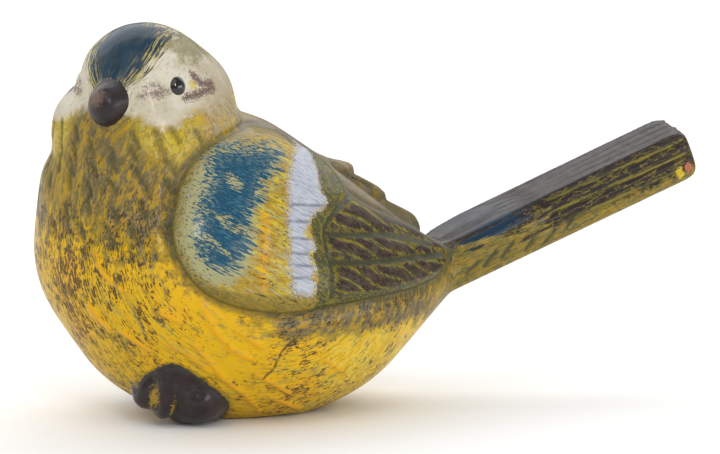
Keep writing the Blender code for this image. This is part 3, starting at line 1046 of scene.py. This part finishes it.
@dataclass(frozen=True)
class BirdPaint:
    """Hand painted colours under a satin varnish."""

    yellow: str = "#d8aa08"
    orange: str = "#e29d12"
    lemon: str = "#c4ab2c"
    # Pale lemon, partly painted light on the underside
    pale: str = "#dfc752"
    mustard: str = "#b08c18"
    olive: str = "#6d6332"
    grey: str = "#5a5442"
    # Grey-brown of the painted sheen on top of the back
    back: str = "#71685a"
    shade: str = "#8a7426"
    fleck: str = "#352620"
    cream: str = "#cbc4b3"
    cream_shade: str = "#b6ab90"
    # Grey cream laid as painted shade towards the nape
    nape: str = "#a1957a"
    cap: str = "#0f3044"
    teal: str = "#14465f"
    teal_light: str = "#42707f"
    rim: str = "#9b9b76"
    ochre: str = "#a58424"
    bar: str = "#b3b6bf"
    bar_shade: str = "#7a8093"
    quill: str = "#2f2223"
    quill_light: str = "#54463f"
    quill_line: str = "#7d7020"
    # Dark olive for marbling and hairs, also the painted shade in hollows and below feather tips
    groove: str = "#45452c"
    crease: str = "#37372a"
    tail: str = "#2b2220"
    tail_line: str = "#a08e24"
    tail_light: str = "#8c7228"
    blue: str = "#142e44"
    stripe: str = "#6c5450"
    crack: str = "#4a3420"
    clay: str = "#b97355"
    foot: str = "#1d1416"
    foot_light: str = "#3d3031"
    specular: float = 0.1
    varnish: tuple[float, float] = (0.3, 0.62)
    varnish_lost: float = 0.22
    varnish_roughness: float = 0.15
    brush_height: float = 0.00012
    brush_strength: float = 0.5

    def build(self, brush: BrushGroups) -> bpy.types.Material:
        """Lay the paint from the undercoat up, and the varnish over it.

        Args:
            brush: The shared brush effects.

        Returns:
            The finish.
        """
        material, w, shader = new_material("painted_glaze_fine")
        coats = Coats(w, brush)
        speck, blot, smear = coats.speck, coats.blot, coats.mark("belly_smear")
        on_wing = coats["wing"].rise(-1.4, -0.8)
        touched = coats.edge("foot_touch", coats.mark("foot_touch"), 0.8, 0.25)
        foot = coats.over(self.foot).lay(blot * 0.45, self.foot_light)
        foot.lay(touched * 0.85, self.ochre)
        bird = coats.over(self.belly(coats))
        bird.lay(coats["head"].rise(-0.5, 1.5), self.face(coats, bird.colour))
        bird.lay(on_wing, self.wing(coats))
        bird.lay(coats.wander(coats["tail"], 2.5).rise(-5.0, 2.0), self.rear(coats))
        bird.lay(coats.edge("foot", smear, 0.15, 0.1), foot.colour)
        # Painted shade: darker in the carved hollows, the deeper the darker
        bird.lay(coats["hollow"] * 0.6, self.groove)
        bird.lay(coats.edge("nick_beside", speck, 0.3, 0.1), self.lemon)
        bird.lay(coats.edge("nick", speck, 0.3, 0.08), self.clay)
        glossy = (coats["cap"].rise(-1.0, 1.0) * 0.35).or_more(coats["foot"].rise(-0.2, 0.2))
        dull = coats["quills"].rise(-0.5, 0.5) * self.varnish_lost
        brushed = w.blend(on_wing, smear, coats.mark("wing_strokes"))
        w.fill(shader, {
            "Base Color": bird.colour,
            "Roughness": w.blend(blot, 0.5, 0.7),
            "Specular IOR Level": self.specular,
            "Coat Weight": w.blend(glossy, *self.varnish) - dull,
            "Coat Roughness": self.varnish_roughness,
            "Normal": w.raised(speck * 0.35 + brushed, self.brush_height, self.brush_strength),
        })
        return material

    def belly(self, coats: Coats) -> Value:
        """Lay yellow, olive wash and painted shade below the wing, and dark dry-brush flecks."""
        speck, blot, drift = coats.speck, coats.blot, coats.drift
        fine, broad = coats.mark("belly_fine"), coats.mark("belly_broad")
        belly = coats.over(self.yellow).lay(broad.rise(0.3, 0.9) * 0.6, self.lemon)
        belly.lay(drift.rise(0.5, 0.95) * 0.3, self.orange)
        streaks = coats.mark("belly_streaks").rise(0.5, 0.8) * drift.rise(0.9, 0.3)
        belly.lay(streaks * 0.5, self.shade)
        # Pale lemon low on the right, partly painted light on the underside
        belly.lay(coats["pale"] * blot.rise(0.2, 0.8) * 0.8, self.pale)
        belly.lay(coats["bright"].rise(0.1, 0.8) * 0.85, self.yellow)
        belly.lay(coats.edge(0.45 - coats["ridges"], fine, 0.5, 0.4) * 0.5, self.orange)
        # Olive wash and grey, thin where a dry brush skipped; below the wing, painted shade
        wash = (coats["olive"] - 0.5) * 4.2 + 0.1
        washed = coats.edge(wash, blot * 0.55 + broad * 0.45, 2.6, 1.5)
        belly.lay(washed * 0.85, self.olive)
        greyed = coats.edge(wash - 1.2, drift * 0.7 + speck * 0.3, 2.4, 1.3)
        belly.lay(greyed * 0.75, self.grey)
        belly.lay(coats.mark("belly_dabs").rise(0.45, 0.75) * washed * 0.7, self.mustard)
        belly.lay(coats.mark("belly_hairs").rise(0.55, 0.85) * washed * 0.5, self.mustard)
        # Dark flecks, which the ridges stay free of
        cover = coats["flecks"] * -0.24 + 0.75
        grain = fine * 0.45 + speck * 0.15 + drift * 0.2 + blot * 0.2
        flecks = grain.rise(cover - 0.015, cover + 0.02) * coats["ridges"].rise(0.25, 0.6)
        belly.lay(flecks * 0.86, self.fleck)
        # Painted sheen where the back between the wings faces up
        belly.lay(coats.edge(coats["back"] * 4.0 - 1.6, broad, 1.6, 1.2) * 0.75, self.back)
        # Painted shade below the tips of the back feathers
        belly.lay(coats["tips"].rise(0.3, 1.0) * 0.35, self.groove)
        belly.lay(coats["crack"].rise(0.42, 0.1) * 0.8, self.crack)
        return belly.colour

    def face(self, coats: Coats, belly: Value) -> Value:
        """Lay the cream face, its eye stripe, the yellow cheek and the cap."""
        speck, blot, drift, hairs = coats.speck, coats.blot, coats.drift, coats.mark("cap_hairs")
        face = coats.over(self.cream).lay(drift.rise(0.3, 1.0) * 0.7, self.cream_shade)
        # Painted shade darkens the face towards the nape
        face.lay(coats.wander(coats["turned_away_shade"], 0.15).rise(0.45, 1.0) * 0.8, self.nape)
        face.lay(speck.rise(0.78, 0.95) * 0.2, self.grey)
        under = coats.over(self.olive).lay(blot, self.lemon).colour
        face.lay(coats.edge(coats["cap"] + 0.6, hairs, 1.6, 0.8) * 0.8, under)
        face.lay(coats.edge("beside_cap", blot, 1.8, 2.2) * 0.75, self.olive)
        face.lay(coats.edge("eye_spot", blot, 0.6, 0.5) * 0.75, self.lemon)
        grain = coats.mark("face_grain") * 0.75 + speck * 0.25
        for area, share in (("lore", 0.75), ("marks", 0.95), ("lore_bump", 0.5)):
            face.lay(coats.edge(area, grain, 1.0, 0.5) * share, self.stripe)
        scratches = coats.mark("cap_scratches").rise(0.62, 0.72) * coats["cap"].rise(4.5, 0.5)
        cap = coats.over(self.cap).lay(hairs.rise(0.5, 0.9) * 0.5, self.groove).colour
        face.lay(coats.edge("cap", hairs, 2.3, 0.2) * (1.0 - scratches), cap)
        sunny = coats.over(self.lemon).lay(drift.rise(0.2, 0.9), self.mustard)
        # Nape-coloured blots in the cheek band; the extra ones towards the nape are painted shade
        sunny.lay(blot.rise(0.3, 0.8) * (coats["turned_away_shade"] * 0.7 + 0.15), self.nape)
        band = coats.wander(coats["cream"], 1.2).rise(-11.0, -3.0) * coats["cheek"]
        cheek = coats.over(belly).lay(band * 0.85, sunny.colour)
        # Painted shade greys the cheek towards the nape
        greyed = coats["turned_away_shade"] * coats.wander(drift, 0.2).rise(0.15, 0.75)
        cheek.lay(greyed * 0.75, self.nape)
        cheek.lay(abs(blot - 0.5).rise(0.14, 0.02) * 0.6, self.olive)
        cheek.lay(coats.edge("cream", blot * 0.5 + drift * 0.5, 1.8, 1.6), face.colour)
        return cheek.colour

    def wing(self, coats: Coats) -> Value:
        """Lay the rim, the teal patch, the ochre, the pale bar and the dark quills."""
        speck, blot = coats.speck, coats.blot
        strokes, broad = coats.mark("wing_strokes"), coats.mark("wing_broad")
        marbling, swirls = coats.squiggle("wing_marbling"), coats.squiggle("wing_swirls")
        wing = coats.over(self.ochre).lay(broad.rise(0.3, 0.8), self.lemon)
        wing.lay(coats["ridge"].rise(1.5, 0.3) * 0.5, self.orange)
        wing.lay(marbling * 0.7, self.olive)
        wing.lay(coats.mark("wing_dabs").rise(0.6, 0.75) * 0.6, self.rim)
        wing.lay(coats.edge("rim", strokes, 1.8, 0.7) * 0.85, self.rim)
        olive = coats.over(self.olive).lay(marbling.or_more(swirls) * 0.6, self.mustard).colour
        margin = coats.edge(coats["margin"] * -1.0, broad * 0.5 + strokes * 0.5, 1.6, 0.9)
        wing.lay(margin * 0.85, olive)
        wing.lay((speck * 0.35 + strokes * 0.65).rise(0.74, 0.8) * 0.8, self.fleck)
        # The teal patch, dry at its edge and open in a few gaps
        ragged = coats.mark("wing_bold") * 0.7 + strokes * 0.3
        patch = coats.edge(coats["patch"] + 0.4, ragged, 3.0, 0.12)
        gaps = coats.edge("patch_gaps", strokes, 1.1, 0.15)
        dry = coats.mark("wing_dry").rise(0.5, 0.9) * 0.7
        wing.lay(patch * (1.0 - gaps), coats.over(self.teal).lay(dry, self.teal_light).colour)
        at_edge = coats["patch"].rise(4.0, 0.0) * coats["patch"].rise(-3.4, -1.0)
        wing.lay(coats.mark("wing_scratches").rise(0.62, 0.72) * 0.8 * at_edge, self.rim)
        # Brown behind the bar, then the quills
        behind = coats["bar"].rise(0.5, -1.0) * coats["rearwards"].rise(1.5, 3.5)
        brown = coats.over(self.groove).lay(marbling, self.quill_line).colour
        wing.lay(coats.edge(behind * 3.0 - 1.6, broad, 1.3, 0.6), brown)
        quill = coats.over(self.quill).lay(blot.rise(0.3, 0.9) * 0.6, self.quill_light)
        barbs = coats["barbs"].rise(0.7, 0.95) * strokes.rise(0.35, 0.7)
        quill.lay(barbs * 0.8, self.tail_line).lay(marbling * 0.25, self.quill_line)
        wing.lay(coats.edge("quills", strokes, 0.6, 0.25), quill.colour)
        lines = coats["wing_lines"]
        wing.lay(coats.edge(0.75 - lines, blot, 0.8, 0.3) * 0.65, self.quill_line)
        wing.lay(coats.edge(0.5 - lines, strokes, 0.3, 0.2) * 0.95, self.crease)
        bar = coats.over(self.bar)
        bar.lay(coats.mark("bar_strokes").rise(0.4, 0.8) * 0.6, self.bar_shade)
        bar.lay(coats["bar_laps"].rise(0.5, 0.05) * 0.85, self.bar_shade)
        wing.lay(coats.edge("bar", coats.mark("bar_edge"), 1.3, 0.12), bar.colour)
        return wing.colour

    def rear(self, coats: Coats) -> Value:
        """Lay the tail: marbled olive at its root, dark ridges and thin pale lines behind."""
        long, broad = coats.mark("tail_long"), coats.mark("tail_broad")
        top, above = coats["tail_top"], coats["tail_above"]
        tail = coats.over(self.tail_light)
        tail.lay((long * 0.5 + coats.blot * 0.5).rise(0.35, 0.65), self.olive)
        tail.lay(coats.squiggle("tail_marbling") * 0.75, self.groove)
        reached = above * 0.7 + coats["tail_share"] * 7.0 - 1.2
        dark = coats.edge(reached, broad, 2.4, 0.5).or_more(top)
        tail.lay(dark * coats.wander(above, 1.4).rise(-3.0, -1.8), self.tail)
        tail.lay(coats.squiggle("tail_swirls") * (1.0 - top) * 0.38, self.tail_line)
        tail.lay(coats["tail_strokes"].rise(0.55, 0.15) * 0.75, self.groove)
        tail.lay(coats.edge(coats["tail_blue"] * 2.0, long, 1.7, 0.3), self.blue)
        lines = coats.edge(0.18 - (top * 3.0 + coats["tail_lines"]), long, 0.28, 0.1)
        return tail.lay(lines * 0.9, self.tail_line).colour


@dataclass(frozen=True)
class BeakHorn:
    """Satin purple-black of the beak, with worn spots."""

    dark: str = "#1c1315"
    light: str = "#36292b"
    worn: str = "#8f7566"
    spots: tuple[Knots, ...] = (((-37.1, -15.6, 69.2), (1.8, 1.8, 1.6)),
                                ((-36.6, -10.6, 70.0), (1.0, 1.0, 2.4)))
    spot_share: float = 0.5
    specular: float = 0.2
    varnish: float = 0.4
    varnish_roughness: float = 0.25
    grain_height: float = 0.0001
    grain_strength: float = 0.4

    def build(self, brush: BrushGroups) -> bpy.types.Material:
        """Lay the finish.

        Args:
            brush: The shared brush effects.

        Returns:
            The finish.
        """
        material, w, shader = new_material("beak_horn")
        place = w.place()
        blot = w.noise(place, 300.0, 4.0).rise(0.35, 0.75)
        speck = w.noise(place, 1500.0, 2.0).rise(0.35, 0.7)
        horn = Layers(w, self.dark).lay(blot * 0.6, self.light)
        for middle, size in self.spots:
            away = w.vector("SUBTRACT", place, tuple(at * MM for at in middle))
            scaled = w.vector("MULTIPLY", away, tuple(1.0 / (half * MM) for half in size))
            inside = 1.0 - w.vector("LENGTH", scaled, output="Value")
            mask = w.group(brush.edge, Depth=inside, Mark=speck * 0.5 + blot * 0.5, Reach=0.6,
                           Softness=0.7)
            horn.lay(mask * self.spot_share, self.worn)
        w.fill(shader, {
            "Base Color": horn.colour,
            "Roughness": w.blend(speck, 0.42, 0.6),
            "Specular IOR Level": self.specular,
            "Coat Weight": self.varnish,
            "Coat Roughness": self.varnish_roughness,
            "Normal": w.raised(speck + blot, self.grain_height, self.grain_strength),
        })
        return material


@dataclass(frozen=True)
class EyeGloss:
    """Wet-looking black of the eyes."""

    dark: str = "#0b0909"
    light: str = "#241c1a"
    specular: float = 0.15
    varnish: float = 1.0
    varnish_roughness: float = 0.04

    def build(self) -> bpy.types.Material:
        """Lay the finish and return it."""
        material, w, shader = new_material("eye_gloss")
        smear = w.noise(w.place(), 700.0, 2.0).rise(0.4, 0.8)
        w.fill(shader, {
            "Base Color": w.mix(smear * 0.4, self.dark, self.light),
            "Roughness": w.blend(smear, 0.08, 0.16),
            "Specular IOR Level": self.specular,
            "Coat Weight": self.varnish,
            "Coat Roughness": self.varnish_roughness,
        })
        return material


@dataclass
class Face:
    """The beak and the two eyes, set on the solid's own."""

    head: Head
    beak_cell: float = 0.3
    beak_softening: int = 6
    seen_from: float = 40.0

    def beak(self, finish: bpy.types.Material) -> bpy.types.Object:
        """Build the blunt beak as one tight hull.

        Args:
            finish: Its material.

        Returns:
            The beak.
        """
        head = self.head
        bm = bmesh.new()
        for place, radii in (head.beak_base, head.beak_tip):
            add_ellipsoid(bm, head.world(head.beak_turn, *place), radii, head.facing - 90.0)
        bmesh.ops.delete(bm, geom=bm.edges[:], context="EDGES_FACES")
        found = bmesh.ops.convex_hull(bm, input=bm.verts[:])
        inside = [item for item in found["geom_interior"] if isinstance(item, bmesh.types.BMVert)]
        bmesh.ops.delete(bm, geom=inside, context="VERTS")
        made = with_modifiers(mesh_from("beak", bm),
                              ("REMESH", {"mode": "VOXEL", "voxel_size": self.beak_cell * MM}),
                              ("SMOOTH", {"factor": 0.5, "iterations": self.beak_softening}))
        return piece("beak", made, finish)

    def eye(self, side: Side, finish: bpy.types.Material) -> bpy.types.Object:
        """Build one eye's bead where the solid carries it.

        Args:
            side: Which eye.
            finish: Its material.

        Returns:
            The eye.
        """
        head = self.head
        turn, bulge = head.eye_turns[side.value], head.eye_bulges[side.value]
        solid = bmesh.new()
        solid.from_mesh(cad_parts[NODE].data)
        tree = BVHTree.FromBMesh(solid)
        solid.free()
        outer = head.world(turn, self.seen_from, head.eye_height)
        inwards = (head.world(turn, 0.0, head.eye_height) - outer).normalized()
        hit = tree.ray_cast(outer * MM, inwards)[0] / MM
        bm = bmesh.new()
        add_ellipsoid(bm, hit + inwards * (head.eye_radii[1] - bulge), head.eye_radii,
                      head.facing + turn - 90.0)
        return piece(f"eye_{side.name.lower()}", mesh_from("eye", bm), finish)


class SoftBox(NamedTuple):
    """A light's place as degrees round and up, metres away, its size in metres and watts."""

    name: str
    azimuth: float
    height: float
    away: float
    size: tuple[float, float]
    power: float


@dataclass
class Studio:
    """Pale floor, soft lights and the camera."""

    aim: Point = (0.0268, 0.0, 0.0372)
    azimuth: float = -22.0
    height: float = 8.0
    away: float = 1.0
    lens: float = 235.0
    floor_size: float = 6.0
    floor_tints: tuple[str, str] = ("#f4f4f3", "#f7f7f6")
    world_strength: float = 0.5
    boxes: tuple[SoftBox, ...] = (
        SoftBox("top_box", 158.0, 47.0, 1.3, (3.0, 1.25), 20.0),
        SoftBox("front_box", -40.0, 50.0, 1.6, (1.6, 1.6), 8.0),
        SoftBox("eye_box", -10.0, 26.0, 1.2, (0.17, 0.36), 2.4),
        SoftBox("left_box", -118.0, 24.0, 1.3, (0.9, 1.2), 1.8),
        SoftBox("low_box", 42.0, 8.0, 1.4, (1.4, 0.34), 5.2))

    def place(self, name: str, data: bpy.types.ID, azimuth: float, height: float,
              away: float) -> bpy.types.Object:
        """Put a camera or a light round the bird, turned to face it.

        Args:
            name: Its name.
            data: What it is.
            azimuth: Degrees round from the front.
            height: Degrees up.
            away: Metres from the bird.

        Returns:
            The new object.
        """
        round_, up = math.radians(azimuth), math.radians(height)
        outwards = Vector((math.sin(round_) * math.cos(up), -math.cos(round_) * math.cos(up),
                           math.sin(up)))
        made = bpy.data.objects.new(name, data)
        made.location = Vector(self.aim) + outwards * away
        made.rotation_euler = outwards.to_track_quat("Z", "Y").to_euler()
        bpy.context.scene.collection.objects.link(made)
        return made

    def camera(self) -> None:
        """Place the camera at the photograph's angle."""
        data = bpy.data.cameras.new("camera")
        data.lens = self.lens
        data.sensor_width = 36.0
        data.clip_start = 0.01
        bpy.context.scene.camera = self.place("camera", data, self.azimuth, self.height, self.away)

    def light(self, box: SoftBox) -> None:
        """Place one soft box that faces the bird."""
        data = bpy.data.lights.new(box.name, "AREA")
        data.shape = "RECTANGLE"
        data.size, data.size_y = box.size
        data.energy = box.power
        self.place(box.name, data, box.azimuth, box.height, box.away).visible_camera = False

    def floor(self) -> None:
        """Lay the pale floor."""
        bm = bmesh.new()
        bmesh.ops.create_grid(bm, x_segments=2, y_segments=2, size=self.floor_size / 2.0)
        material, w, shader = new_material("floor_paper")
        w.fill(shader, {"Base Color": w.mix(w.noise(w.place(), 3.0), *self.floor_tints),
                        "Roughness": 0.9, "Specular IOR Level": 0.1})
        piece("floor", mesh_from("floor", bm), material, smooth=False)

    def build(self) -> None:
        """Set the whole studio."""
        world = bpy.data.worlds.new("studio")
        world.use_nodes = True
        background = world.node_tree.nodes["Background"]
        background.inputs["Color"].default_value = (1.0, 1.0, 1.0, 1.0)
        background.inputs["Strength"].default_value = self.world_strength
        bpy.context.scene.world = world
        bpy.context.scene.view_settings.view_transform = "Standard"
        self.floor()
        for box in self.boxes:
            self.light(box)
        self.camera()


def main() -> None:
    """Build the studio and the bird, and report each piece."""
    logging.basicConfig(level=logging.INFO, format="%(name)s %(message)s")
    head = Head()
    brush = BrushGroups.made()
    Studio().build()
    paint = BirdPaint().build(brush)
    horn = BeakHorn().build(brush)
    gloss = EyeGloss().build()
    face = Face(head)
    skin = Skin(head, Wing(), Tail(), Feet(), Breast(), Carving()).build(paint)
    pieces = [skin, face.beak(horn), face.eye(Side.LEFT, gloss), face.eye(Side.RIGHT, gloss)]
    for made in pieces:
        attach(made, "root")
    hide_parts(NODE)


if __name__ == "__main__":
    main()
